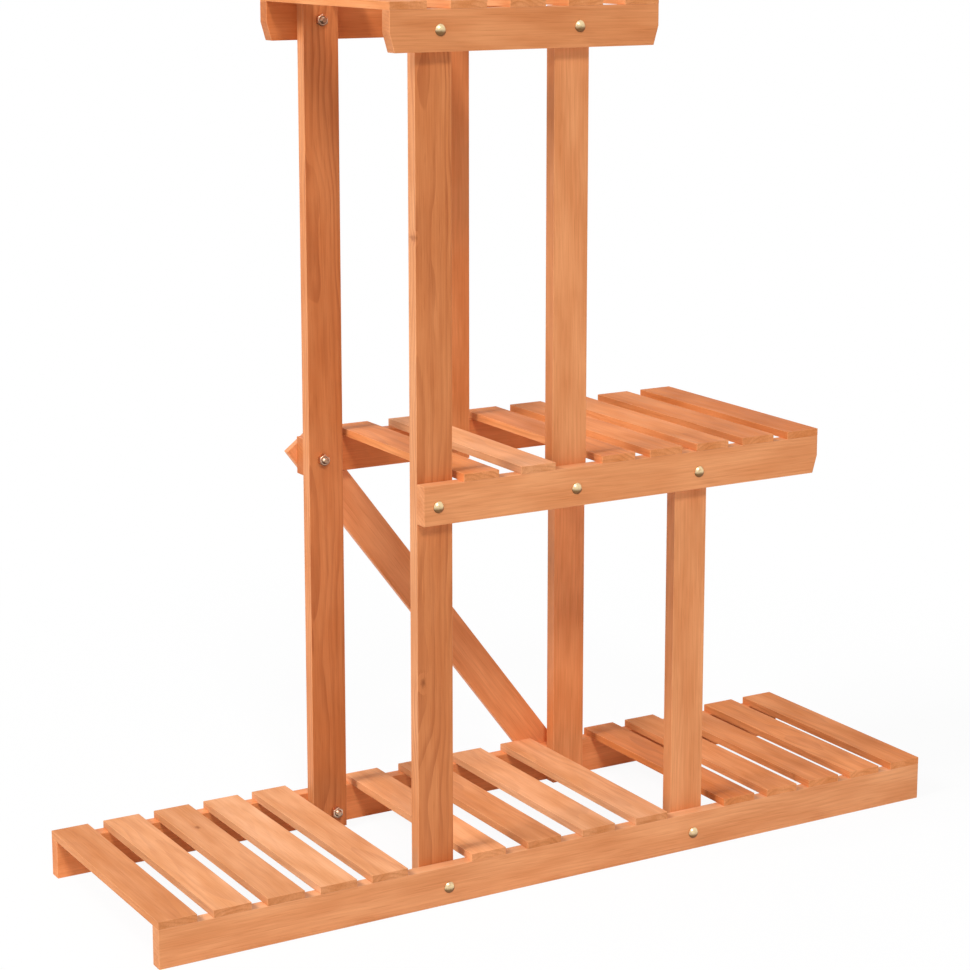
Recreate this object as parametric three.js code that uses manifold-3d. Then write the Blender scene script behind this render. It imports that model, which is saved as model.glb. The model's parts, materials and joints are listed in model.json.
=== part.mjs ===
// Tiered plant stand: three slatted shelves that step back from a long lower one, on six flat posts,
// with a diagonal brace at the back, all of stained softwood boards held by dome-head bolts and hex nuts.
//
// Millimetres, +Z up, +X along the shelves, front towards -Y. The origin is on the floor, in the middle
// of the stand's outline. The boards are laid out from the lower left front corner of the stand.

import * as THREE from 'three';
import { mergeVertices } from 'three/addons/utils/BufferGeometryUtils.js';
import Module from 'manifold-3d';

// ---------- Driving sizes ----------

// Board stock
const postWidth = 36;
const postThickness = 13;
const railHeight = 36;
const railThickness = 13;
const slatWidth = 36;
const slatThickness = 7;
const braceWidth = 36;
const braceThickness = 7;

// Depth over the rails' outer faces, and the height of each raised tier's top above the floor
const shelfDepth = 250;
const middleTierHeight = 397;
const upperTierHeight = 809;

// Lengths along the stand, measured clear of the posts
const outerBay = 259; // lower rails' end to the nearest post, the same at both ends
const centreBay = 239; // left post to right post
const middleBay = 104; // left post to middle post
const middleReach = 120; // right post to the middle rails' right end
const upperReachLeft = 31; // upper rails' left end to the left post
const upperReachRight = 65; // middle post to the upper rails' right end

// Cut-back lower corners of the rails' free ends
const endCutLength = 5;
const endCutHeight = 17;

// Slats in each row, and the clear space that the row leaves at a post
const outerRowCount = 5;
const outerRowSpace = 18;
const centreRowCount = 4;
const centreRowSpace = 12;
const middleLeftRowCount = 2;
const middleLeftRowSpace = 4.5;
const middleRightRowCount = 5;
const middleRightRowSpace = 9.5;
const upperRowCount = 5;

// Bolts and nuts
const boltDiameter = 6;
const holeClearance = 0.3; // all round the bolt
const headDiameter = 10.5;
const headHeight = 3.3;
const headRim = 0.9; // the upright part of the head's edge
const nutWidth = 10; // across flats
const nutThickness = 5;
const boltEnd = 3; // bolt that shows past its nut
const boltEndBevel = 0.8;

// Height of the bolts above the lower edge of their rails
const lowerBoltRise = 16.5;
const middleBoltRise = 16.5;
const upperBoltRise = 18.5;

// Left posts' bolts that sit beside the post's centre line, positive to the right
const lowerLeftBoltShift = 6.3;
const middleLeftBoltShift = -3.4;

// Brace: how far its centre line passes beside its two bolts, positive to the right, the wood left past
// the upper bolt, and how far its lower end, cut level, stays off the floor
const braceUpperShift = 1.5;
const braceLowerShift = -7;
const braceEndMargin = 20;
const braceFloorGap = 2;

// Smoothness of round shapes
const holeSides = 24;
const boltSides = 14;
const domeSteps = 4;

// ---------- Places that follow from the sizes ----------

const leftPostX = outerBay;
const middlePostX = leftPostX + postWidth + middleBay;
const rightPostX = leftPostX + postWidth + centreBay;
const lowerLength = rightPostX + postWidth + outerBay;
const middleEndX = rightPostX + postWidth + middleReach;
const upperStartX = leftPostX - upperReachLeft;
const upperEndX = middlePostX + postWidth + upperReachRight;

const tiers = {
  lower: { railZ: 0, startX: 0, endX: lowerLength, boltRise: lowerBoltRise },
  middle: {
    railZ: middleTierHeight - slatThickness - railHeight,
    startX: leftPostX,
    endX: middleEndX,
    cutRight: true,
    boltRise: middleBoltRise,
  },
  upper: {
    railZ: upperTierHeight - slatThickness - railHeight,
    startX: upperStartX,
    endX: upperEndX,
    cutLeft: true,
    cutRight: true,
    boltRise: upperBoltRise,
  },
};

const railTop = (tier) => tiers[tier].railZ + railHeight;

const posts = {
  left: { x: leftPostX, bottomZ: 0, topZ: railTop('upper') },
  middle: { x: middlePostX, bottomZ: tiers.middle.railZ, topZ: railTop('upper') },
  right: { x: rightPostX, bottomZ: 0, topZ: railTop('middle') },
};

// Every crossing of a post with a pair of rails has a bolt at the front and one at the back.
const crossings = [
  { tier: 'lower', post: 'left', shift: lowerLeftBoltShift },
  { tier: 'lower', post: 'right', shift: 0, braced: true },
  { tier: 'middle', post: 'left', shift: middleLeftBoltShift, braced: true },
  { tier: 'middle', post: 'middle', shift: 0 },
  { tier: 'middle', post: 'right', shift: 0 },
  { tier: 'upper', post: 'left', shift: 0 },
  { tier: 'upper', post: 'middle', shift: 0 },
].map((crossing) => ({
  ...crossing,
  x: posts[crossing.post].x + postWidth / 2 + crossing.shift,
  z: tiers[crossing.tier].railZ + tiers[crossing.tier].boltRise,
}));

// The two sides of the stand, with the near face of each layer as a distance from the front face.
const sides = {
  front: { railY: 0, postY: railThickness },
  back: { railY: shelfDepth - railThickness, postY: shelfDepth - railThickness - postThickness },
};

// ---------- Materials ----------

const frameWood = new THREE.MeshStandardMaterial({ color: 0xd98f5e, roughness: 0.6, metalness: 0 });
const slatWood = new THREE.MeshStandardMaterial({ color: 0xe09a68, roughness: 0.6, metalness: 0 });
const platedSteel = new THREE.MeshStandardMaterial({ color: 0xc9b27c, roughness: 0.3, metalness: 1 });

// ---------- Shapes ----------

const wasm = await Module();
wasm.setup();

function solidFrom(geometry) {
  const bare = geometry.index ? geometry.toNonIndexed() : geometry.clone();
  bare.deleteAttribute('normal');
  bare.deleteAttribute('uv');
  const merged = mergeVertices(bare, 1e-4);
  const vertProperties = new Float32Array(merged.attributes.position.array);
  const triVerts = new Uint32Array(merged.index.array);
  return new wasm.Manifold(new wasm.Mesh({ numProp: 3, vertProperties, triVerts }));
}

function geometryFrom(solid) {
  const mesh = solid.getMesh();
  const geometry = new THREE.BufferGeometry();
  geometry.setAttribute('position', new THREE.BufferAttribute(mesh.vertProperties, 3));
  geometry.setIndex(new THREE.BufferAttribute(mesh.triVerts, 1));
  geometry.computeVertexNormals();
  return geometry;
}

// An upright board: its outline and bolt holes are given as seen from the front, x to the right and z up.
// The board's near face is at y = 0 and it is as deep as its thickness.
function uprightBoard(outline, holes, thickness) {
  const shape = new THREE.Shape(outline.map(([x, z]) => new THREE.Vector2(x, z)));
  const holeRadius = boltDiameter / 2 + holeClearance;
  for (const hole of holes) {
    const path = new THREE.Path();
    path.absarc(hole.x, hole.z, holeRadius, 0, 2 * Math.PI, true);
    shape.holes.push(path);
  }
  const options = { depth: thickness, bevelEnabled: false, curveSegments: holeSides / 2 };
  const geometry = new THREE.ExtrudeGeometry(shape, options);
  geometry.rotateX(Math.PI / 2);
  geometry.translate(0, thickness, 0);
  return geometry;
}

// The outline and holes are moved so that they count from a board's own lower left corner.
const relativeTo = (originX, originZ) => (point) => ({ x: point.x - originX, z: point.z - originZ });

function railGeometry(tierName) {
  const tier = tiers[tierName];
  const length = tier.endX - tier.startX;
  const outline = [];
  if (tier.cutLeft) {
    outline.push([0, endCutHeight], [endCutLength, 0]);
  } else {
    outline.push([0, 0]);
  }
  if (tier.cutRight) {
    outline.push([length - endCutLength, 0], [length, endCutHeight]);
  } else {
    outline.push([length, 0]);
  }
  outline.push([length, railHeight], [0, railHeight]);
  const bolts = crossings.filter((crossing) => crossing.tier === tierName);
  return uprightBoard(outline, bolts.map(relativeTo(tier.startX, tier.railZ)), railThickness);
}

function postGeometry(postName) {
  const post = posts[postName];
  const height = post.topZ - post.bottomZ;
  const outline = [[0, 0], [postWidth, 0], [postWidth, height], [0, height]];
  const bolts = crossings.filter((crossing) => crossing.post === postName);
  return uprightBoard(outline, bolts.map(relativeTo(post.x, post.bottomZ)), postThickness);
}

// The brace's outline stays in the stand's own x and z: two long edges either side of its centre line, a
// square upper end, and a lower end cut level with the floor.
function braceGeometry() {
  const bolts = crossings.filter((crossing) => crossing.braced);
  const [lowerBolt, upperBolt] = [...bolts].sort((a, b) => a.z - b.z);
  const upper = new THREE.Vector2(upperBolt.x + braceUpperShift, upperBolt.z);
  const lower = new THREE.Vector2(lowerBolt.x + braceLowerShift, lowerBolt.z);
  const down = lower.clone().sub(upper).normalize();
  const across = new THREE.Vector2(-down.y, down.x).multiplyScalar(braceWidth / 2);
  const end = upper.clone().addScaledVector(down, -braceEndMargin);
  const rightTop = end.clone().add(across);
  const leftTop = end.clone().sub(across);
  const toFloorGap = (from) => from.clone().addScaledVector(down, (braceFloorGap - from.y) / down.y);
  const corners = [leftTop, toFloorGap(leftTop), toFloorGap(rightTop), rightTop];
  return uprightBoard(corners.map((corner) => [corner.x, corner.y]), bolts, braceThickness);
}

function slatGeometry() {
  const geometry = new THREE.BoxGeometry(slatWidth, shelfDepth, slatThickness);
  geometry.translate(slatWidth / 2, shelfDepth / 2, slatThickness / 2);
  return geometry;
}

// A bolt with its nut run on, along +Y: the head stands on the wood at y = 0 and the nut on the far side of
// the boards that it grips.
function boltGeometry(grip) {
  const shankRadius = boltDiameter / 2;
  const headRadius = headDiameter / 2;
  const tipY = grip + nutThickness + boltEnd;
  const domeRise = headHeight - headRim;
  const profile = [new THREE.Vector2(0, -headHeight)];
  for (let step = 1; step <= domeSteps; step += 1) {
    const angle = (step / domeSteps) * (Math.PI / 2);
    profile.push(new THREE.Vector2(headRadius * Math.sin(angle), -headRim - domeRise * Math.cos(angle)));
  }
  profile.push(new THREE.Vector2(headRadius, 0));
  profile.push(new THREE.Vector2(shankRadius, 0));
  profile.push(new THREE.Vector2(shankRadius, tipY - boltEndBevel));
  profile.push(new THREE.Vector2(shankRadius - boltEndBevel, tipY));
  profile.push(new THREE.Vector2(0, tipY));
  const bolt = solidFrom(new THREE.LatheGeometry(profile, boltSides));
  const nutRadius = nutWidth / Math.sqrt(3);
  const nut = new THREE.CylinderGeometry(nutRadius, nutRadius, nutThickness, 6);
  nut.translate(0, grip + nutThickness / 2, 0);
  return geometryFrom(bolt.add(solidFrom(nut)));
}

// ---------- Assembly ----------

const stand = new THREE.Group();
const overallDepth = headHeight + shelfDepth + braceThickness + headHeight;
stand.position.set(-lowerLength / 2, headHeight - overallDepth / 2, 0);

function place(name, geometry, material, x, y, z) {
  const mesh = new THREE.Mesh(geometry, material);
  mesh.name = name;
  mesh.position.set(x, y, z);
  stand.add(mesh);
  return mesh;
}

function addRails() {
  for (const [tierName, tier] of Object.entries(tiers)) {
    for (const [sideName, side] of Object.entries(sides)) {
      const name = `${tierName}_${sideName}_rail`;
      place(name, railGeometry(tierName), frameWood, tier.startX, side.railY, tier.railZ);
    }
  }
}

function addPosts() {
  for (const [postName, post] of Object.entries(posts)) {
    for (const [sideName, side] of Object.entries(sides)) {
      const name = `${postName}_${sideName}_post`;
      place(name, postGeometry(postName), frameWood, post.x, side.postY, post.bottomZ);
    }
  }
}

function addBrace() {
  place('diagonal_brace', braceGeometry(), frameWood, 0, shelfDepth, 0);
}

// Left edges of a row of slats spread evenly from one place to another.
function slatRow(fromX, toX, count) {
  const pitch = (toX - fromX - slatWidth) / (count - 1);
  return Array.from({ length: count }, (_, index) => fromX + index * pitch);
}

function addSlats(tierName, rows) {
  const edges = rows.flatMap(([fromX, toX, count]) => slatRow(fromX, toX, count));
  edges.forEach((x, index) => {
    const number = String(index + 1).padStart(2, '0');
    place(`${tierName}_slat_${number}`, slatGeometry(), slatWood, x, 0, railTop(tierName));
  });
}

function addBolts() {
  for (const crossing of crossings) {
    for (const sideName of Object.keys(sides)) {
      const throughBrace = crossing.braced && sideName === 'back';
      const braceLayer = throughBrace ? braceThickness : 0;
      const grip = braceLayer + railThickness + postThickness;
      const headY = sideName === 'front' ? 0 : shelfDepth + braceLayer;
      const name = `bolt_${crossing.tier}_${crossing.post}_${sideName}`;
      const bolt = place(name, boltGeometry(grip), platedSteel, crossing.x, headY, crossing.z);
      bolt.rotation.z = sideName === 'front' ? 0 : Math.PI;
    }
  }
}

addRails();
addPosts();
addBrace();
addSlats('lower', [
  [0, leftPostX - outerRowSpace, outerRowCount],
  [leftPostX + postWidth + centreRowSpace, rightPostX - centreRowSpace, centreRowCount],
  [rightPostX + postWidth + outerRowSpace, lowerLength, outerRowCount],
]);
addSlats('middle', [
  [leftPostX + postWidth + middleLeftRowSpace, middlePostX - middleLeftRowSpace, middleLeftRowCount],
  [middlePostX + postWidth + middleRightRowSpace, middleEndX, middleRightRowCount],
]);
addSlats('upper', [[upperStartX, upperEndX, upperRowCount]]);
addBolts();

export default stand;
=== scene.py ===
# %% [markdown]
# # A tiered plant stand in stained softwood
#
# The stand is 39 planed boards and 14 bolts. A measured model of it already exists, with every board in its
# place, so this lesson doesn't place anything by eye: each piece made here takes its place and its size from
# the measured one. What is added is what a workshop adds: eased edges, sawn grain that runs the right way
# through each board, stain, and real bolts with a dome, a thread and a nut.

# %% Load the measured stand
import json
import math
import random

import bmesh
import bpy
import numpy as np
from mathutils import Matrix, Vector


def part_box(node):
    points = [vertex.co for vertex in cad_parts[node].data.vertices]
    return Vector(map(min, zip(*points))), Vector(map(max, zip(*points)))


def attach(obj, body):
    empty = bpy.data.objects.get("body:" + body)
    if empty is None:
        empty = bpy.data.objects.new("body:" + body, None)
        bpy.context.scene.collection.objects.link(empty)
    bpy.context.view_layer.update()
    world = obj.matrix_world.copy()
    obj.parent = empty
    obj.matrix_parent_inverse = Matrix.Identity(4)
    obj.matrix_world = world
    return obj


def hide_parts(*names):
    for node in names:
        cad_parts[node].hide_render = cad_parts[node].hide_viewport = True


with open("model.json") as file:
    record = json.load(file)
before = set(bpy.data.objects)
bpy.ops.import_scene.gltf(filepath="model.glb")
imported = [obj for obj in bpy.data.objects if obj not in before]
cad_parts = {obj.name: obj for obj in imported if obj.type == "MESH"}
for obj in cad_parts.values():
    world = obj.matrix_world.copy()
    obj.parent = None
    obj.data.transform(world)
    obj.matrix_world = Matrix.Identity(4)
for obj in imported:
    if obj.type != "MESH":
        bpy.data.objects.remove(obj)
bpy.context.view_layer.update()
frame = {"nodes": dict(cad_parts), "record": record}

nodes = frame["nodes"]
slot_of = {part["node"]: part["material_slot"] for part in frame["record"]["subparts"]}
board_names = sorted(name for name in nodes if slot_of[name] != "bolt_metal")
bolt_names = sorted(name for name in nodes if slot_of[name] == "bolt_metal")
print(f"{len(board_names)} boards and {len(bolt_names)} bolts with their nuts")

# %% [markdown]
# ## Where the camera stands
#
# The picture was taken from the front left, with the lens a little above the top shelf, about 2.4 m away.
# The camera stands at that point, so it sees the same sides of every board. The photographer kept the camera
# level and let the stand hang low in the frame; a level camera here would push the stand out of every other
# view, so this one looks a little down instead, with a small shift of the frame.

# %% The camera
PICTURE_SIDE = 970        # pixels, the picture is square
LENS_IN_PIXELS = 2505
SENSOR_SIDE = 36.0        # mm
EYE = Vector((-1.1885, -1.9885, 0.885))
TURNED_RIGHT = math.radians(30.48)
LOOKING_DOWN = math.radians(10.83)
FRAME_SHIFT = -0.10

camera_data = bpy.data.cameras.new("camera")
camera_data.lens = LENS_IN_PIXELS / PICTURE_SIDE * SENSOR_SIDE
camera_data.sensor_width = SENSOR_SIDE
camera_data.shift_y = FRAME_SHIFT
camera = bpy.data.objects.new("camera", camera_data)
bpy.context.scene.collection.objects.link(camera)
bpy.context.scene.camera = camera
gaze = Vector((
    math.sin(TURNED_RIGHT) * math.cos(LOOKING_DOWN),
    math.cos(TURNED_RIGHT) * math.cos(LOOKING_DOWN),
    -math.sin(LOOKING_DOWN),
))
camera.location = EYE
camera.rotation_euler = gaze.to_track_quat("-Z", "Y").to_euler()
print(f"lens {camera_data.lens:.1f} mm")

# %% [markdown]
# ## A board from its measured block
#
# A planed board has flat faces and edges that sandpaper has rounded by less than a millimetre. The measured
# block has sharp edges and its faces are cut into triangles. Rounding could be drawn by a bump in the
# material, but a real rounding catches the light along the whole edge, so it is cut into the mesh. The block
# is copied, its triangles are merged back into whole faces, and a bevel rounds the outer edges only: the
# rims of the bolt holes stay sharp, because the bolt heads and the nuts hide them.

# %% Whole faces, and the edges to be rounded
WELD = 1e-5               # m, corners closer than this are one corner
FLAT = math.radians(1)    # faces that meet at less are one face
CORNER = math.radians(40)
HOLE_CHORD = 0.0015       # m, the sides of a bolt hole's rim are shorter than this


def whole_block(name):
    """The measured block as a new mesh with whole faces, its outer edges marked for the bevel."""
    block = bmesh.new()
    block.from_mesh(nodes[name].data)
    bmesh.ops.remove_doubles(block, verts=block.verts, dist=WELD)
    bmesh.ops.dissolve_limit(block, angle_limit=FLAT, verts=block.verts, edges=block.edges)
    weight = block.edges.layers.float.new("bevel_weight_edge")
    for edge in block.edges:
        turn = edge.calc_face_angle(0.0)
        outer = turn > CORNER and edge.calc_length() > HOLE_CHORD
        edge[weight] = float(outer)
        edge.smooth = outer
    for face in block.faces:
        face.smooth = True
    mesh = bpy.data.meshes.new(name + "_board")
    block.to_mesh(mesh)
    block.free()
    if "custom_normal" in mesh.attributes:
        mesh.attributes.remove(mesh.attributes["custom_normal"])
    return mesh


# %% The rounding
EDGE_EASE = {"frame_wood": 0.0005, "slat_wood": 0.0003}      # m from the corner to where the rounding starts
EDGE_STEPS = 3


def new_piece(name, mesh):
    piece = bpy.data.objects.new(name, mesh)
    bpy.context.scene.collection.objects.link(piece)
    return piece


def settle(piece):
    """Turns the piece's modifiers into plain mesh, so that later steps see the final shape."""
    graph = bpy.context.evaluated_depsgraph_get()
    final = bpy.data.meshes.new_from_object(
        piece.evaluated_get(graph), preserve_all_data_layers=True, depsgraph=graph
    )
    final.name = piece.data.name
    piece.modifiers.clear()
    piece.data = final


def eased_board(name):
    """A new piece with the block's shape and rounded edges. Its second material slot marks the roundings."""
    piece = new_piece(name + "_board", whole_block(name))
    piece.data.materials.append(None)
    piece.data.materials.append(None)
    rounding = piece.modifiers.new("eased edges", "BEVEL")
    rounding.limit_method = "WEIGHT"
    rounding.offset_type = "OFFSET"
    rounding.width = EDGE_EASE[slot_of[name]]
    rounding.segments = EDGE_STEPS
    rounding.harden_normals = True
    rounding.material = 1
    settle(piece)
    return piece


boards = {name: eased_board(name) for name in board_names}
print(sum(len(piece.data.polygons) for piece in boards.values()), "faces on the boards")

# %% [markdown]
# ## Each board's place in its log
#
# Grain isn't painted on a board. The tree grew in rings around its pith, and a board shows whatever rings
# its faces cut through: long lines where it was sawn across the rings, wide arches where it was sawn along
# them, and short arcs at its ends. So each board is given a place in a log: every corner of its mesh
# remembers how far along the trunk it is, and how far from the pith. One wood material can then work out the
# rings for any face, and the lines on the side of a board meet the arcs on its end.
#
# Sawn boards never follow the trunk quite straight, so each one is tilted a little in its log. That tilt is
# what draws the long arches.

# %% The long way, the wide way and the thin way through a board
MILLIMETRES = 1000.0
NEARLY_STRAIGHT = 0.995


def ways_through(points):
    """Three directions at right angles: along the board, across it and through it."""
    spread = np.cov((points - points.mean(0)).T)
    _, ways = np.linalg.eigh(spread)
    ways = ways.T[::-1]
    for way in ways:
        way *= np.sign(way[np.argmax(np.abs(way))])
        if np.abs(way).max() > NEARLY_STRAIGHT:
            way[:] = np.round(way)
    return ways


def corners_of(mesh):
    points = np.empty(len(mesh.vertices) * 3, np.float32)
    mesh.vertices.foreach_get("co", points)
    return points.reshape(-1, 3).astype(float)


def write_attribute(mesh, name, kind, domain, values):
    made = mesh.attributes.new(name, kind, domain)
    field = "vector" if kind == "FLOAT_VECTOR" else "value"
    made.data.foreach_set(field, np.asarray(values, np.float32).ravel())


# %% [markdown]
# How the log was sawn decides what shows. A board cut with its edge towards the pith shows straight quiet
# lines, and most of the frame is like that. The slats and the two left posts were cut further out, with the
# pith below the face, and show arches and loops.

# %% A place in a log for every board
LOG_LENGTH = 4000.0       # mm
MOST_TILT = 0.020         # mm across for each mm along
BOARD_EDGE = -18.0        # mm, the left edge of a board that is 36 mm wide
POST_PITH_BELOW = 30.0    # mm
POST_FIGURE = 1.0         # how boldly rings show, from 0 for not at all to 1
SLAT_PITH_ACROSS, SLAT_PITH_BELOW = (-16, 16), (26, 55)       # mm, chance picks from between the two
SLAT_FIGURE = (0.2, 0.6)
FRAME_PITH_ACROSS, FRAME_PITH_BELOW = (60, 110), (4, 30)
FRAME_FIGURE = 0.25


def sawn_how(name, luck):
    """The pith's place across and below the board's middle in mm, and how boldly the rings show."""
    if name in ("left_front_post", "left_back_post"):
        return BOARD_EDGE, POST_PITH_BELOW, POST_FIGURE
    if slot_of[name] == "slat_wood":
        return luck.uniform(*SLAT_PITH_ACROSS), luck.uniform(*SLAT_PITH_BELOW), luck.uniform(*SLAT_FIGURE)
    return luck.uniform(*FRAME_PITH_ACROSS), luck.uniform(*FRAME_PITH_BELOW), FRAME_FIGURE


def sawn_from(name, piece):
    """Writes where the board was in its log. Gives back the three ways through it, and its luck."""
    luck = random.Random(name)
    points = corners_of(piece.data) * MILLIMETRES
    ways = ways_through(points)
    middle = (points.max(0) + points.min(0)) / 2
    along, across, through = ((points - middle) @ way for way in ways)
    pith_across, pith_below, figure = sawn_how(name, luck)
    tilt_across = luck.uniform(-MOST_TILT, MOST_TILT)
    tilt_through = luck.uniform(-MOST_TILT, MOST_TILT)
    place = np.stack([
        along + luck.uniform(0, LOG_LENGTH),
        across - pith_across + along * tilt_across,
        through + pith_below + along * tilt_through,
    ], axis=1)
    write_attribute(piece.data, "in_the_log", "FLOAT_VECTOR", "POINT", place)
    write_attribute(piece.data, "ring_figure", "FLOAT", "POINT", np.full(len(points), figure))
    return ways, luck


sawn = {name: sawn_from(name, piece) for name, piece in boards.items()}
leaning = sawn["diagonal_brace"][0][0]
print(f"the brace leans {math.degrees(math.atan2(leaning[2], leaning[0])):.1f} degrees")

# %% [markdown]
# A branch leaves a knot, a short dark plug that the rings bend round. Each one stands where the real board
# has it, so its board remembers how far every corner is from it, counted in knot radii. The softwood finish
# draws the rest.

# %% Knots
NO_KNOT = (90.0, 90.0, 90.0)          # so far off that nothing shows
KNOT_STRETCH = np.array([0.55, 1.0, 0.25])    # a knot is longer along the grain and goes right through
KNOTS = {                 # board: up to two knots, each its place on the stand and its radius in mm
    "left_front_post": (((-150, -115, 208), 2.6), ((-155, -112, 607), 1.6)),
    "lower_slat_03": (((-294, 60, 43), 2.4),),
    "lower_slat_10": (((172, -100, 43), 3.0),),
    "lower_slat_12": (((274, -104, 43), 2.2),),
}


def write_knots(name, piece, ways):
    points = corners_of(piece.data) * MILLIMETRES
    board_knots = list(KNOTS.get(name, ()))
    for attribute in ("first_knot", "second_knot"):
        offsets = np.tile(NO_KNOT, (len(points), 1))
        if board_knots:
            middle, radius = board_knots.pop(0)
            offsets = (points - middle) @ ways.T * KNOT_STRETCH / radius
        write_attribute(piece.data, attribute, "FLOAT_VECTOR", "POINT", offsets)


for name, piece in boards.items():
    write_knots(name, piece, sawn[name][0])
print(sum(len(found) for found in KNOTS.values()), "knots")

# %% [markdown]
# The stain isn't even from board to board either. Each coat takes more from blue than from red, so a board
# that drank more is both darker and redder. Some boards are darker or paler than their neighbours, from
# their own wood and from the stain they took, and chance adds a little. The numbers for that are also partly
# painted
# light and shade: they make a board lighter or darker for how much lamp light reaches it where it stands.
# The narrow sides get a tone of their own on top. On the middle and right posts it is painted shade, darker
# where the left posts keep the lamp off them. On the left posts and the front rails it is a painted sheen,
# paler and greyer. The slats' cut ends differ less from one to the next than their faces do, and the frame's
# ends came out a little darker.

# %% How much stain each board took
COAT_PASSES = np.array([0.83, 0.72, 0.61])    # share of red, green and blue that one more coat lets through
CHANCE_COATS = 0.12
BOARD_TONES_AND_PAINTED_LIGHT = {           # board: extra coats of stain, and how pale it is beside the others; partly painted light and shade
    "diagonal_brace": (-0.45, 1.05), "left_back_post": (1.05, 1), "left_front_post": (0.85, 1),
    "lower_back_rail": (0.25, 1.2), "lower_front_rail": (-0.55, 0.95), "middle_back_post": (0.75, 1.05),
    "middle_back_rail": (1.55, 1.17), "middle_front_post": (-0.05, 1), "middle_front_rail": (-0.2, 1),
    "right_back_post": (0.2, 1.15), "right_front_post": (-0.05, 1), "upper_back_rail": (1.5, 1.08),
    "upper_front_rail": (0.2, 0.95), "lower_slat_01": (0, 0.85), "lower_slat_02": (-1.1, 0.85),
    "lower_slat_03": (-0.75, 0.8), "lower_slat_04": (-1.3, 0.8), "lower_slat_05": (-0.9, 0.8),
    "lower_slat_06": (-0.65, 0.95), "lower_slat_07": (-0.15, 0.85), "lower_slat_08": (-1.2, 0.8),
    "lower_slat_09": (-1.3, 0.8), "lower_slat_10": (1.4, 1.15), "lower_slat_11": (0.5, 1.1),
    "lower_slat_12": (0.65, 1.15), "lower_slat_13": (0.4, 1.2), "lower_slat_14": (0.75, 1.2),
    "middle_slat_01": (0.9, 1.1), "middle_slat_02": (-1, 0.85), "middle_slat_03": (1.05, 1.2),
    "middle_slat_04": (0.75, 1.15), "middle_slat_05": (0.55, 1.1), "middle_slat_06": (1, 1.15),
    "middle_slat_07": (1.4, 1.2), "upper_slat_01": (0.4, 1),
}
USUAL_TONE = (0.0, 1.0)
NARROW_TONES_AND_PAINTED_LIGHT = {          # the same two numbers for a board's narrow sides, on top of the board's own: painted sheen and shade
    "left_front_post": (-1.6, 0.75), "left_back_post": (-1.0, 0.85),
    "lower_front_rail": (-1.05, 0.82), "middle_front_rail": (-0.75, 0.85),
    "middle_front_post": (0.15, 0.82), "right_front_post": (0.1, 0.78), "right_back_post": (-0.1, 0.8),
    "lower_slat_02": (-0.1, 0.78), "middle_slat_02": (-0.1, 0.75), "middle_slat_03": (-1.0, 0.82),
    "middle_slat_06": (-0.5, 0.78),
}
USUAL_NARROW_TONE = (-0.15, 0.92)
SLAT_END_SHARE = 0.3      # a slat's cut end shows this share of the slat's own extra coats
FRAME_END_PALENESS = 0.86
SIDE_ON = 0.7             # cosine of the turn up to which a face still counts as a side or an end


def stain_and_painted_light_that_passes(name, chance, where):
    """The share of red, green and blue that a board's stain and its painted light and shade let through on
    its face, side or end.
    """
    coats, paleness = BOARD_TONES_AND_PAINTED_LIGHT.get(name, USUAL_TONE)
    # narrow sides: painted shade on the middle and right posts, painted sheen on the left posts and front
    # rails
    if where == "side":
        more_coats, more_paleness = NARROW_TONES_AND_PAINTED_LIGHT.get(name, USUAL_NARROW_TONE)
        coats, paleness = coats + more_coats, paleness * more_paleness
    if where == "end" and slot_of[name] == "slat_wood":
        coats, paleness = coats * SLAT_END_SHARE, math.sqrt(paleness)
    elif where == "end":
        paleness = paleness * FRAME_END_PALENESS
    return paleness * COAT_PASSES ** (coats + chance)


for name, piece in boards.items():
    ways, luck = sawn[name]
    chance = luck.uniform(-CHANCE_COATS, CHANCE_COATS)
    # each board's stain, with painted light and shade for where it stands, on its faces, sides and ends
    face_stain_and_painted_light, side_stain_and_painted_light, end_stain_and_painted_light = (
        stain_and_painted_light_that_passes(name, chance, where) for where in ("face", "side", "end")
    )
    passes = np.tile(face_stain_and_painted_light, (len(piece.data.loops), 1))
    for face in piece.data.polygons:
        loops = slice(face.loop_start, face.loop_start + face.loop_total)
        if abs(np.dot(face.normal, ways[1])) > SIDE_ON:
            passes[loops] = side_stain_and_painted_light
        if abs(np.dot(face.normal, ways[0])) > SIDE_ON:
            passes[loops] = end_stain_and_painted_light
    write_attribute(piece.data, "stain_and_painted_light", "FLOAT_VECTOR", "CORNER", passes)
print("stain on", len(boards), "boards")

# %% [markdown]
# Two more marks go on the faces. The roundings are where sandpaper and hands have thinned the stain, and the
# two ends are cut across the fibres, so they drink more of it.

# %% Rubbed edges and cut ends
END_ON = 0.9              # the same for this mark, which leaves the roundings out


def mark_faces(piece, way_along):
    """Writes which faces are roundings and which are cut across the fibres."""
    mesh = piece.data
    rubbed = np.zeros(len(mesh.loops))
    cut_end = np.zeros(len(mesh.loops))
    for face in mesh.polygons:
        loops = slice(face.loop_start, face.loop_start + face.loop_total)
        rubbed[loops] = face.material_index
        cut_end[loops] = abs(np.dot(face.normal, way_along)) > END_ON
        face.material_index = 0
    mesh.materials.clear()
    write_attribute(mesh, "rubbed_edge", "FLOAT", "CORNER", rubbed)
    write_attribute(mesh, "cut_end", "FLOAT", "CORNER", cut_end)


for name, piece in boards.items():
    mark_faces(piece, sawn[name][0][0])
print("roundings and cut ends are marked")

# %% [markdown]
# ## Writing a finish as sums
#
# A material is a web of nodes, and long webs are hard to read. Most of one is plain arithmetic, so the web
# is written as arithmetic: a `Trace` stands for one socket, and adding or multiplying traces adds the nodes.
# Numbers go through Math nodes and colours through Vector Math, because a Math node turns a colour grey.

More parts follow.
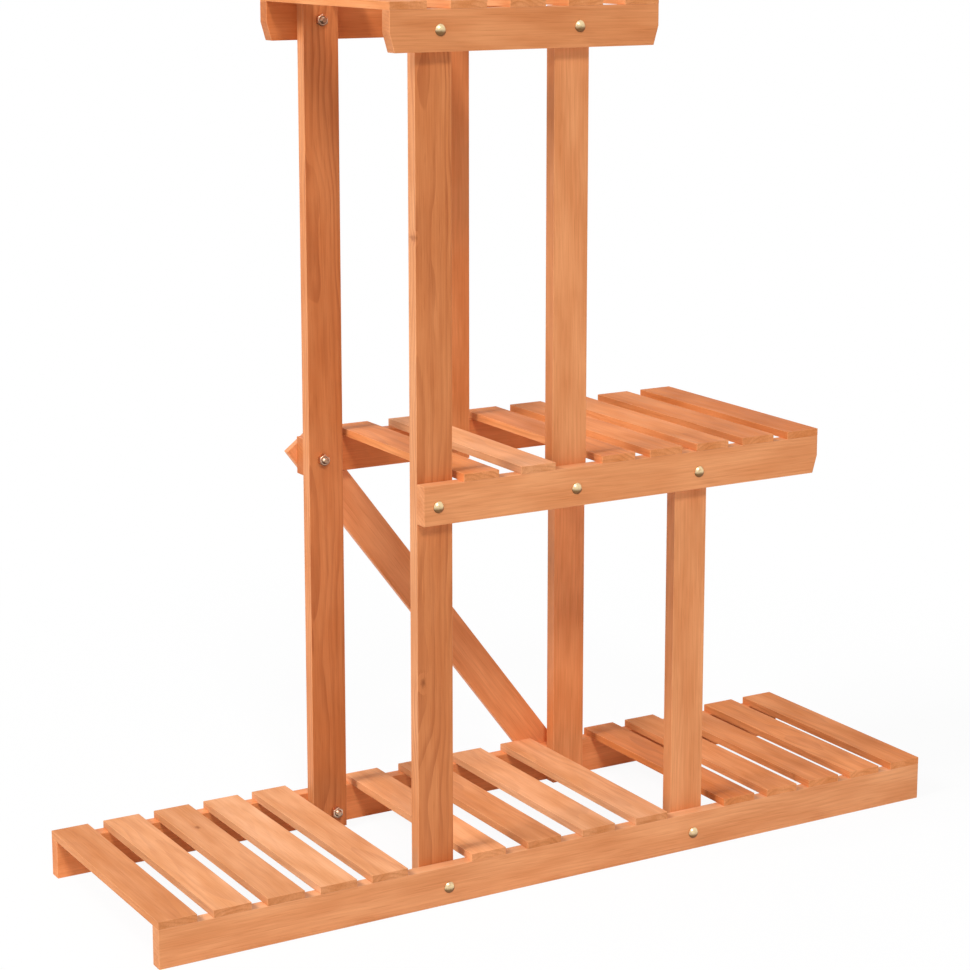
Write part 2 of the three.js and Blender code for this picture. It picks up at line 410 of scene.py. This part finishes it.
# %% Traces
class Trace:
    """One socket of a finish. Sums on it add nodes to the finish."""

    def __init__(self, finish, socket):
        self.finish = finish
        self.socket = socket
        self.many = socket.type in ("VECTOR", "RGBA")

    def also(self, out):
        """Another output of the same node."""
        return Trace(self.finish, self.socket.node.outputs[out])

    def worked(self, operation, first, second):
        many = any(isinstance(x, tuple) or (isinstance(x, Trace) and x.many) for x in (first, second))
        kind = "ShaderNodeVectorMath" if many else "ShaderNodeMath"
        if many:
            first, second = (x if isinstance(x, (tuple, Trace)) else (x, x, x) for x in (first, second))
        return self.finish.node(kind, {"operation": operation}, {0: first, 1: second})

    def __add__(self, other):
        return self.worked("ADD", self, other)

    def __radd__(self, other):
        return self.worked("ADD", other, self)

    def __sub__(self, other):
        return self.worked("SUBTRACT", self, other)

    def __rsub__(self, other):
        return self.worked("SUBTRACT", other, self)

    def __mul__(self, other):
        return self.worked("MULTIPLY", self, other)

    def __rmul__(self, other):
        return self.worked("MULTIPLY", other, self)


# %% [markdown]
# A `Finish` holds the nodes of one material. Every node that isn't plain arithmetic comes from its one
# method `node`, and the few kinds that are used again and again have short names of their own.

# %% Finishes
class Finish:
    """The nodes of a material or of the world, and the one method that adds a node to them."""

    def __init__(self, owner, end="ShaderNodeOutputMaterial"):
        owner.use_nodes = True
        self.owner = owner
        self.tree = owner.node_tree
        self.tree.nodes.clear()
        self.end = self.tree.nodes.new(end)

    def node(self, kind, settings=None, sockets=None, out=0):
        made = self.tree.nodes.new(kind)
        for setting, value in (settings or {}).items():
            setattr(made, setting, value)
        for socket, value in (sockets or {}).items():
            if isinstance(value, Trace):
                self.tree.links.new(value.socket, made.inputs[socket])
            else:
                made.inputs[socket].default_value = value
        return Trace(self, made.outputs[out])

    def fade(self, value, start, end):
        """0 below start, 1 above end, and a smooth rise between them."""
        sockets = {"Value": value, "From Min": start, "From Max": end}
        return self.node("ShaderNodeMapRange", {"interpolation_type": "SMOOTHSTEP"}, sockets)

    def length(self, value):
        return self.node("ShaderNodeVectorMath", {"operation": "LENGTH"}, {0: value}, "Value")

    def cloud(self, place, detail=2.0, out="Fac"):
        """Soft random patches, one for each unit of place."""
        return self.node("ShaderNodeTexNoise", None, {"Vector": place, "Scale": 1.0, "Detail": detail}, out)

    def blend(self, share, first, second):
        """The first colour where share is 0, the second where it is 1."""
        settings = {"data_type": "RGBA", "clamp_factor": True}
        return self.node("ShaderNodeMix", settings, {0: share, 6: first, 7: second}, out=2)

    def show(self, shader):
        self.tree.links.new(shader.socket, self.end.inputs["Surface"])
        return self.owner


# %% Colours as a screen shows them
BRIGHTEST = 255
BEND_AT = 11              # the step below which a screen's curve is a straight line
STRAIGHT, LIFT, BEND = 12.92, 0.055, 2.4      # that line's slope, and the shape of the curve above it


def paint(red, green, blue):
    """A colour as a screen shows it, 0 to 255, turned into the light values that materials use."""
    light = []
    for step in (red, green, blue):
        part = step / BRIGHTEST
        light.append(part / STRAIGHT if step < BEND_AT else ((part + LIFT) / (1 + LIFT)) ** BEND)
    return (*light, 1.0)


print("a mid tone:", [round(part, 3) for part in paint(128, 128, 128)])

# %% [markdown]
# ## Stained softwood
#
# The boards are fast-grown softwood under a thin reddish brown stain. Pale spring wood drinks the stain and
# thin summer rings stay a little darker, so the rings show softly. Three things keep it from looking
# printed: the rings wander, because no trunk is round; some stretches show them boldly and others hardly at
# all; and broad cloudy patches show where the stain went on thicker. Very fine fibres and short dark ticks
# run along everything.
#
# Where a board holds a knot, the rings bend round it, and it is the darkest thing on the wood.

# %% Knots and rings
RING_GAP = 4.4            # mm between years
SPRING, SUMMER, NEW_YEAR = 0.35, 0.86, 0.94   # parts of a ring
TRUNK_WANDER = 24.0       # mm that the rings stray over a long stretch of trunk
QUIVER = 2.0              # mm that they stray over a short one
KNOT_PUSH = 3.0           # mm that a knot pushes the rings aside
KNOT_SPECKLE = (1.4, 1.4, 1.4)        # clouds for each knot radius
KNOT_RAGGED = 1.2         # this and the next two lines count in knot radii
CORE_REACH = 1.4
HALO_FROM, HALO_TO = 0.3, 3.2
HALF_WAY = (0.5, 0.5, 0.5)            # a cloud's average, taken off so that it pushes both ways


def stretched(along, across):
    """Multiplies a place in the log so that a cloud's patches are this many mm long and wide."""
    return 1 / along, 1 / across, 1 / across


def knot(finish, attribute):
    """The dark middle of a knot, and the bent wood around it."""
    offset = finish.node("ShaderNodeAttribute", {"attribute_name": attribute}, None, "Vector")
    ragged = finish.cloud(offset * KNOT_SPECKLE)
    distance = finish.length(offset) + (ragged - 0.5) * KNOT_RAGGED
    return 1 - finish.fade(distance, 0.0, CORE_REACH), 1 - finish.fade(distance, HALO_FROM, HALO_TO)


def rings(finish, place, halo):
    """How far a spot is into its year's summer wood, from 0 to 1."""
    wander = finish.cloud(place * stretched(170, 45), 1.5, "Color") - HALF_WAY
    quiver = finish.cloud(place * stretched(45, 14), 1.0, "Color") - HALF_WAY
    bent = place + wander * (0.0, TRUNK_WANDER, TRUNK_WANDER) + quiver * (0.0, QUIVER, QUIVER)
    radius = finish.length(bent * (0.0, 1.0, 1.0)) + halo * KNOT_PUSH
    season = finish.node("ShaderNodeMath", {"operation": "FRACT"}, {0: radius * (1 / RING_GAP)})
    return finish.fade(season, SPRING, SUMMER) * (1 - finish.fade(season, NEW_YEAR, 1.0))


# %% [markdown]
# The softwood finish is built up in layers. First comes the stain, thin and thick in cloudy patches, then
# the summer rings, then the board's own tone with its painted light and shade, and on top of that the fine
# dark and light of fibres, streaks, drifts and ticks. Knots and rubbed edges come last. The same patterns
# also raise the surface a hair and change its shine, as they do on real wood.

# %% How large each pattern is, and how much it shows
BOLD_SIZE, PATCH_SIZE, DRIFT_SIZE = stretched(150, 14), stretched(80, 18), stretched(110, 40)
FIBRE_SIZE, STREAK_SIZE, TICK_SIZE = stretched(45, 0.9), stretched(90, 2.0), stretched(30, 1.1)
BOLD_FADE = (0.36, 0.66)              # each fade runs over this stretch of its cloud
PATCH_FADE = (0.22, 0.78)
TICK_FADE = (0.58, 0.72)
FAINT_RINGS, BOLDER_RINGS = 0.22, 0.60        # share of summer wood everywhere, and what a bold stretch adds
END_RINGS, HALO_SHARE = 0.16, 0.28
FIBRE_SHADE, STREAK_SHADE, DRIFT_SHADE, TICK_SHADE = 0.27, 0.20, 0.26, 0.10
EVENED = (1.01, 1.01, 1.01)           # gives back what the ticks take on average
DARKER_IS_REDDER = (0.75, 1.15, 1.60)         # a dark fibre takes more from blue than from red
KNOT_COVERS, RUB_COVERS, END_DARKER = 0.7, 0.22, 0.06
KNOT_BROWN = paint(132, 66, 30)
EASED_PALE = paint(240, 172, 122)
FIBRE_RELIEF, STREAK_RELIEF, RING_RELIEF, TICK_RELIEF = 0.5, 0.4, 0.3, 0.4
WOOD_BUMP = {"Strength": 0.35, "Distance": 0.00025}           # the distance in m
WOOD_MATT = 0.52
FIBRE_MATT, PATCH_MATT, RING_SHINE, END_MATT = 0.12, 0.16, 0.05, 0.08
WOOD_IOR = 1.45
print("bold rings come in stretches of about", round(1 / BOLD_SIZE[0]), "mm")


# %% The wood itself
def stained_wood(name, gloss, thin_stain, thick_stain, summer_wood):
    """One stain for many boards: the marks that each board carries make it differ from the next."""
    finish = Finish(bpy.data.materials.new(name))

    def mark(attribute, out="Fac"):
        return finish.node("ShaderNodeAttribute", {"attribute_name": attribute}, None, out)

    place = mark("in_the_log", "Vector")
    first_core, first_halo = knot(finish, "first_knot")
    second_core, second_halo = knot(finish, "second_knot")
    core, halo = first_core + second_core, first_halo + second_halo
    summer = rings(finish, place, halo)
    bold = finish.fade(finish.cloud(place * BOLD_SIZE, 1.0), *BOLD_FADE)
    patches = finish.cloud(place * PATCH_SIZE)
    drifts = finish.cloud(place * DRIFT_SIZE, 1.0)
    fibres = finish.cloud(place * FIBRE_SIZE)
    streaks = finish.cloud(place * STREAK_SIZE)
    ticks = finish.fade(finish.cloud(place * TICK_SIZE, 1.0), *TICK_FADE)
    end = mark("cut_end")

    colour = finish.blend(finish.fade(patches, *PATCH_FADE), thin_stain, thick_stain)
    share = summer * mark("ring_figure") * (FAINT_RINGS + BOLDER_RINGS * bold)
    share = share + summer * end * END_RINGS + halo * HALO_SHARE
    colour = finish.blend(share, colour, summer_wood)
    # each board's stain, with painted light and shade for where it stands
    colour = colour * mark("stain_and_painted_light", "Vector")
    shade = FIBRE_SHADE * (fibres - 0.5) + STREAK_SHADE * (streaks - 0.5)
    shade = shade + DRIFT_SHADE * (drifts - 0.5) - TICK_SHADE * ticks
    colour = colour * (EVENED + DARKER_IS_REDDER * shade)
    colour = finish.blend(core * KNOT_COVERS, colour, KNOT_BROWN)
    colour = finish.blend(mark("rubbed_edge") * RUB_COVERS, colour, EASED_PALE)
    colour = colour * (1 - END_DARKER * end)

    relief = fibres * FIBRE_RELIEF + streaks * STREAK_RELIEF + summer * RING_RELIEF - ticks * TICK_RELIEF
    bump = finish.node("ShaderNodeBump", None, {"Height": relief, **WOOD_BUMP})
    roughness = WOOD_MATT + FIBRE_MATT * (fibres - 0.5) + PATCH_MATT * (patches - 0.5)
    roughness = roughness - RING_SHINE * summer + END_MATT * end
    surface = finish.node("ShaderNodeBsdfPrincipled", None, {
        "Base Color": colour, "Roughness": roughness, "Normal": bump,
        "IOR": WOOD_IOR, "Specular IOR Level": gloss,
    })
    return finish.show(surface)


FRAME_GLOSS, SLAT_GLOSS = 0.25, 0.06          # 0.5 would be fresh varnish
frame_wood = stained_wood(
    "frame_wood", FRAME_GLOSS, paint(230, 153, 99), paint(215, 134, 80), paint(196, 117, 68)
)
slat_wood = stained_wood(
    "slat_wood", SLAT_GLOSS, paint(236, 160, 107), paint(218, 138, 83), paint(198, 120, 71)
)

for name, piece in boards.items():
    piece.data.materials.append(frame_wood if slot_of[name] == "frame_wood" else slat_wood)
    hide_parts(name)
    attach(piece, "root")
print("wood on", len(boards), "boards")

# %% [markdown]
# ## Dome-head bolts
#
# Each joint is held by a bolt whose low dome sits on the rail and whose threaded end sticks out of a hex nut
# on the far side. A bolt is a turned part, so it is made the way a lathe makes one: a half outline is spun
# about the bolt's middle line. The thread is cut as separate ridges, one for each millimetre, which at this
# size looks the same as a true spiral.

# %% Turning an outline
ROUND_SIDES = 48


def turned(outline, second_finish_from):
    """A closed shape from pairs of distance along and radius, which start and end on the middle line.

    Its faces take the second finish from the given distance on.
    """
    shape = bmesh.new()
    circles = []
    for along, radius in outline:
        if radius == 0:
            circles.append([shape.verts.new((0, 0, along))])
            continue
        angles = [2 * math.pi * k / ROUND_SIDES for k in range(ROUND_SIDES)]
        corners = [(radius * math.cos(a), radius * math.sin(a), along) for a in angles]
        circles.append([shape.verts.new(corner) for corner in corners])
    for step, (below, above) in enumerate(zip(circles, circles[1:])):
        for k in range(ROUND_SIDES):
            quad = [below[k % len(below)], below[(k + 1) % len(below)],
                    above[(k + 1) % len(above)], above[k % len(above)]]
            face = shape.faces.new(list(dict.fromkeys(quad)))
            face.material_index = int(outline[step][0] >= second_finish_from)
    bmesh.ops.recalc_face_normals(shape, faces=shape.faces)
    return shape


# %% A bolt's outline
HEAD_ACROSS = 0.0105      # m, and so are all the sizes in this cell
HEAD_HEIGHT = 0.0033
HEAD_RIM = 0.0009         # the rim's height under the dome
RIM_CORNER = 0.0002
SHANK = 0.0030            # the M6 bolt's radius
THREAD_DEPTH = 0.0005
THREAD_PITCH = 0.0010
THREADED = 0.010          # length of thread at the end
ROOT_FROM, ROOT_TO, CREST_FROM = 0.45, 0.60, 0.95     # parts of a pitch
CREST_ROUND = 0.00004
TIP_BEVEL, TIP_DEPTH = 0.0008, 0.0009
LAST_CREST_DEPTH = 0.0001
DOME_STEPS = 10


def bolt_outline(length):
    """From the top of the dome to the threaded end, length metres further."""
    half = HEAD_ACROSS / 2
    rise = HEAD_HEIGHT - HEAD_RIM
    dome_radius = (half ** 2 + rise ** 2) / (2 * rise)
    widest = math.asin(half / dome_radius)
    outline = [
        (dome_radius - dome_radius * math.cos(widest * k / DOME_STEPS),
         dome_radius * math.sin(widest * k / DOME_STEPS))
        for k in range(DOME_STEPS + 1)
    ]
    outline.append((HEAD_HEIGHT - RIM_CORNER, half))
    outline.append((HEAD_HEIGHT, half - RIM_CORNER))
    outline.append((HEAD_HEIGHT, SHANK))
    along = length - THREADED
    outline.append((along, SHANK))
    while along < length - THREAD_PITCH * 1.5:
        outline.append((along + THREAD_PITCH * ROOT_FROM, SHANK - THREAD_DEPTH))
        outline.append((along + THREAD_PITCH * ROOT_TO, SHANK - THREAD_DEPTH))
        outline.append((along + THREAD_PITCH * CREST_FROM, SHANK - CREST_ROUND))
        outline.append((along + THREAD_PITCH, SHANK))
        along += THREAD_PITCH
    outline.append((length - TIP_BEVEL, SHANK - LAST_CREST_DEPTH))
    outline.append((length, SHANK - TIP_DEPTH))
    outline.append((length, 0.0))
    return outline


print(len(bolt_outline(0.035)), "points in a bolt's outline")

# %% [markdown]
# A nut isn't round, but it is still a hexagon that a lathe has touched: its six corners are turned off at
# both ends, which leaves the curved edge that every real nut has. The radius at each angle is the smaller of
# the hexagon's and of the cone's that turned it.

# %% A nut
NUT_ACROSS = 0.0100       # m over the flats
NUT_THICK = 0.0050
NUT_FACE = 0.0095         # m, the flat ring left on the end
NUT_BORE = 0.0030         # m, its radius
BORE_LEAD_IN = 0.0005
CONE_SLOPE = math.tan(math.pi / 3)    # how fast the cone that turned the corners widens
NUT_STEPS = 5
NUT_SIDES = 72


def nut_shape(first_corner):
    """A closed nut that stands on 0, with turned corners and a smooth bore that the bolt's thread fills."""
    flat = NUT_ACROSS / 2
    corner_cut = (flat / math.cos(math.pi / 6) - NUT_FACE / 2) / CONE_SLOPE
    depths = [corner_cut * k / NUT_STEPS for k in range(NUT_STEPS + 1)]
    heights = depths + [NUT_THICK - depth for depth in reversed(depths)]
    shape = bmesh.new()
    angles = [2 * math.pi * k / NUT_SIDES for k in range(NUT_SIDES)]

    def ring(height, radius_at):
        corners = [(radius_at(a) * math.cos(a), radius_at(a) * math.sin(a), height) for a in angles]
        return [shape.verts.new(corner) for corner in corners]

    def outside(height):
        cone = NUT_FACE / 2 + min(height, NUT_THICK - height) * CONE_SLOPE

        def radius_at(angle):
            off_flat = (angle - first_corner) % (math.pi / 3) - math.pi / 6
            return min(flat / math.cos(off_flat), cone)

        return radius_at

    loops = [ring(height, outside(height)) for height in heights]
    bore = [(NUT_THICK, NUT_BORE + BORE_LEAD_IN), (NUT_THICK - BORE_LEAD_IN, NUT_BORE),
            (BORE_LEAD_IN, NUT_BORE), (0.0, NUT_BORE + BORE_LEAD_IN)]
    loops += [ring(height, lambda angle, radius=radius: radius) for height, radius in bore]
    for below, above in zip(loops, loops[1:] + loops[:1]):
        for k in range(NUT_SIDES):
            n = (k + 1) % NUT_SIDES
            shape.faces.new([below[k], below[n], above[n], above[k]])
    bmesh.ops.recalc_face_normals(shape, faces=shape.faces)
    return shape


# %% [markdown]
# ## Plated metal
#
# The domes are a warm yellow, as zinc plating is once it has been passivated. The nuts are a little pinker,
# and the threads that stick out of them are the dullest. Plating on a small part is never a mirror: it has a
# fine matt grain. Its lower side is painted dark brown and made a little rougher, which is painted shade
# where the metal looks down. Metal shows its surroundings more than its own colour, so the finish is only
# these colours, a roughness with fine variation and a slight unevenness of the surface.

# %% Plated metal
GRAIN_PER_MM = (2.2, 2.2, 2.2)
SMEAR_PER_MM = (0.35, 0.35, 0.35)
DULL_FADE = (0.45, 0.75)
# painted shade: the next lines darken the metal towards brown where it looks down, and roughen it there
PAINTED_SHADE_FADE = (-0.36, 0.16)          # how far the surface looks up, from -1 for straight down
PAINTED_SHADE_RAGGED = 0.5
PAINTED_SHADE_COVERS = 0.9
SMEAR_MATT, GRAIN_MATT, PAINTED_SHADE_MATT = 0.14, 0.08, 0.10
METAL_BUMP = {"Strength": 0.12, "Distance": 0.00008}          # the distance in m


def plated_metal(name, bright, dull, painted_shade, roughness):
    """One plating. It is painted dark brown wherever the surface looks down: painted shade."""
    finish = Finish(bpy.data.materials.new(name))
    place = finish.node("ShaderNodeTexCoord", None, None, "Object") * (MILLIMETRES, MILLIMETRES, MILLIMETRES)
    grain = finish.cloud(place * GRAIN_PER_MM, 3.0)
    smear = finish.cloud(place * SMEAR_PER_MM)
    facing = finish.node("ShaderNodeNewGeometry", None, None, "Normal")
    upwards = finish.node("ShaderNodeSeparateXYZ", None, {"Vector": facing}, "Z")
    # painted shade, dark brown on the faces that look down
    painted_shade_mask = 1 - finish.fade(upwards + PAINTED_SHADE_RAGGED * (smear - 0.5), *PAINTED_SHADE_FADE)
    colour = finish.blend(finish.fade(smear, *DULL_FADE), bright, dull)
    colour = finish.blend(painted_shade_mask * PAINTED_SHADE_COVERS, colour, painted_shade)
    rough = roughness + SMEAR_MATT * (smear - 0.5) + GRAIN_MATT * (grain - 0.5) + PAINTED_SHADE_MATT * painted_shade_mask
    bump = finish.node("ShaderNodeBump", None, {"Height": grain, **METAL_BUMP})
    surface = finish.node("ShaderNodeBsdfPrincipled", None, {
        "Base Color": colour, "Metallic": 1.0, "Roughness": rough, "Normal": bump,
    })
    return finish.show(surface)


PLATING_ROUGH, THREAD_ROUGH = 0.26, 0.32
# the third colour of each plating is the painted shade on its lower side
dome_metal = plated_metal(
    "yellow_plating", paint(240, 214, 166), paint(206, 170, 132), paint(112, 70, 32), PLATING_ROUGH
)
nut_metal = plated_metal(
    "pale_plating", paint(238, 200, 172), paint(190, 150, 122), paint(96, 60, 38), PLATING_ROUGH
)
thread_metal = plated_metal(
    "dull_thread", paint(214, 176, 146), paint(150, 110, 82), paint(74, 46, 30), THREAD_ROUGH
)
print("three metals")

# %% [markdown]
# ## Fitting the bolts
#
# Every measured bolt lies along Y. Its box says where its dome and its threaded end are, and its row says
# which of the two is in front. The nut sits on the post's inner face, so the post's box says where.

# %% Bolts and nuts in their places
SHARP_TURN = math.radians(32)


def fitted(shape, name, metals, inward, origin):
    """A piece from a shape that was built along Z, laid along Y. It points to the back where inward is 1."""
    turn = Matrix((
        (inward, 0, 0, origin.x),
        (0, 0, inward, origin.y),
        (0, 1, 0, origin.z),
        (0, 0, 0, 1),
    ))
    bmesh.ops.transform(shape, matrix=turn, verts=shape.verts)
    bmesh.ops.recalc_face_normals(shape, faces=shape.faces)
    for face in shape.faces:
        face.smooth = True
    for edge in shape.edges:
        edge.smooth = edge.calc_face_angle(0.0) < SHARP_TURN
    mesh = bpy.data.meshes.new(name)
    shape.to_mesh(mesh)
    shape.free()
    for metal in metals:
        mesh.materials.append(metal)
    piece = new_piece(name, mesh)
    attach(piece, "root")
    return piece


for name in bolt_names:
    low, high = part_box(name)
    row = name.rsplit("_", 1)[1]
    post = name.split("_")[2] + "_" + row + "_post"
    inward = 1 if row == "front" else -1
    dome_top = low.y if inward > 0 else high.y
    post_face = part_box(post)[1].y if inward > 0 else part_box(post)[0].y
    middle = (low + high) / 2
    corner_up = (high.z - low.z) > (high.x - low.x)
    bolt_shape = turned(bolt_outline(high.y - low.y), HEAD_HEIGHT)
    bolt_start = Vector((middle.x, dome_top, middle.z))
    bolt = fitted(bolt_shape, name + "_dome_bolt", (dome_metal, thread_metal), inward, bolt_start)
    hexagon = nut_shape(math.pi / 2 if corner_up else 0.0)
    nut_start = Vector((middle.x, post_face, middle.z))
    nut = fitted(hexagon, name + "_hex_nut", (nut_metal,), inward, nut_start)
    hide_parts(name)
    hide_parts(name)
print(len(bolt_names), "bolts and nuts fitted")

# %% [markdown]
# ## Floor, backdrop and light
#
# The stand is shown on plain white. The floor is a wide pale sheet that takes a faint shadow, and the
# backdrop is the white sky of the world. Both are lifted to white only for the camera and for reflections,
# so that no extra light falls on the wood. Close to the stand the floor is lifted a little less, which
# leaves its soft shadow there, and further out it goes over to the white of the backdrop, so that no horizon
# shows. The floor hides nothing from below: its under side lets the view through.

# %% Floor
FLOOR_REACH = 12.0        # m
FLOOR_WHITE = 0.93        # share of pure white in what the camera sees of the floor near the stand
FADE_FROM, FADE_TO = 0.45, 1.20       # m from the stand's middle
FLOOR_PAINT = (0.88, 0.88, 0.88, 1)
WHITE = (1, 1, 1, 1)


def seen_directly(finish):
    """1 for rays that show a surface: from the camera, in a reflection or through glass."""
    camera_ray = finish.node("ShaderNodeLightPath", None, None, "Is Camera Ray")
    total = camera_ray + camera_ray.also("Is Glossy Ray") + camera_ray.also("Is Transmission Ray")
    return finish.node("ShaderNodeMath", {"operation": "MINIMUM"}, {0: total, 1: 1.0})


floor_finish = Finish(bpy.data.materials.new("pale_floor"))
floor_place = floor_finish.node("ShaderNodeNewGeometry", None, None, "Position")
floor_under = floor_place.also("Backfacing")
away = floor_finish.length(floor_place * (1.0, 1.0, 0.0))
whitened = FLOOR_WHITE + (1 - FLOOR_WHITE) * floor_finish.fade(away, FADE_FROM, FADE_TO)
floor_white = floor_finish.node("ShaderNodeEmission", None, {"Color": WHITE, "Strength": 1.0})
floor_matt = floor_finish.node("ShaderNodeBsdfDiffuse", None, {"Color": FLOOR_PAINT})
floor_clear = floor_finish.node("ShaderNodeBsdfTransparent")
floor_top = floor_finish.node("ShaderNodeMixShader", None, {
    0: seen_directly(floor_finish) * whitened, 1: floor_matt, 2: floor_white,
})
floor_shader = floor_finish.node("ShaderNodeMixShader", None, {0: floor_under, 1: floor_top, 2: floor_clear})
floor_mesh = bpy.data.meshes.new("floor")
floor_corners = [(x * FLOOR_REACH, y * FLOOR_REACH, 0) for x, y in ((-1, -1), (1, -1), (1, 1), (-1, 1))]
floor_mesh.from_pydata(floor_corners, [], [(0, 1, 2, 3)])
floor_mesh.materials.append(floor_finish.show(floor_shader))
floor = new_piece("floor", floor_mesh)
print("floor", 2 * FLOOR_REACH, "m wide")

# %% Backdrop
SKY_LEVEL = 0.30          # light from all round, 1 would be a full white room

sky = Finish(bpy.data.worlds.new("white_room"), "ShaderNodeOutputWorld")
sky_strength = SKY_LEVEL + (1 - SKY_LEVEL) * seen_directly(sky)
sky_light = sky.node("ShaderNodeBackground", None, {"Color": WHITE, "Strength": sky_strength})
bpy.context.scene.world = sky.show(sky_light)
print("the room gives", SKY_LEVEL, "of a full white room's light")

# %% [markdown]
# A large soft lamp on the left gives every board one bright side, as in the picture: left edges and tops are
# the palest, fronts come after them, and whatever faces away falls to a warm brown. A smaller lamp in front
# lights the fronts from above. It casts the narrow shadow under each rail on the post behind it, and the
# top shelf's shadow on the back posts. A third stands low behind the stand: the picture doesn't see what it
# lights, but the back of the stand shows its true colour too when someone walks round it.

# %% Lamps
AIM = Vector((0.0, 0.0, 0.40))
LAMP_DISTANCE = 12.0      # m, so far that the near end of the stand isn't much brighter than the far end
LAMPS = {                 # lamp: degrees round to the left from the front, degrees up, side in m, power in W
    "key_lamp": (88, 40, 3.6, 1165),
    "front_lamp": (20, 40, 2.0, 565),
    "back_lamp": (180, 12, 2.4, 300),
}


def soft_lamp(name, round_to_left, height_angle, side, power):
    """A square lamp that faces the stand."""
    data = bpy.data.lights.new(name, "AREA")
    data.shape = "SQUARE"
    data.size = side
    data.energy = power
    lamp = bpy.data.objects.new(name, data)
    bpy.context.scene.collection.objects.link(lamp)
    round_angle, rise = math.radians(round_to_left), math.radians(height_angle)
    direction = Vector((
        -math.sin(round_angle) * math.cos(rise), -math.cos(round_angle) * math.cos(rise), math.sin(rise),
    ))
    lamp.location = AIM + direction * LAMP_DISTANCE
    lamp.rotation_euler = (-direction).to_track_quat("-Z", "Y").to_euler()


for name, placing in LAMPS.items():
    soft_lamp(name, *placing)
print(len(LAMPS), "lamps and a pale room")

# %% [markdown]
# The colours above are written as a plain screen shows them. The picture is developed the same way, without
# the softer film look that Blender starts with, so they come out as they were written.

# %% Picture settings
bpy.context.scene.view_settings.view_transform = "Standard"
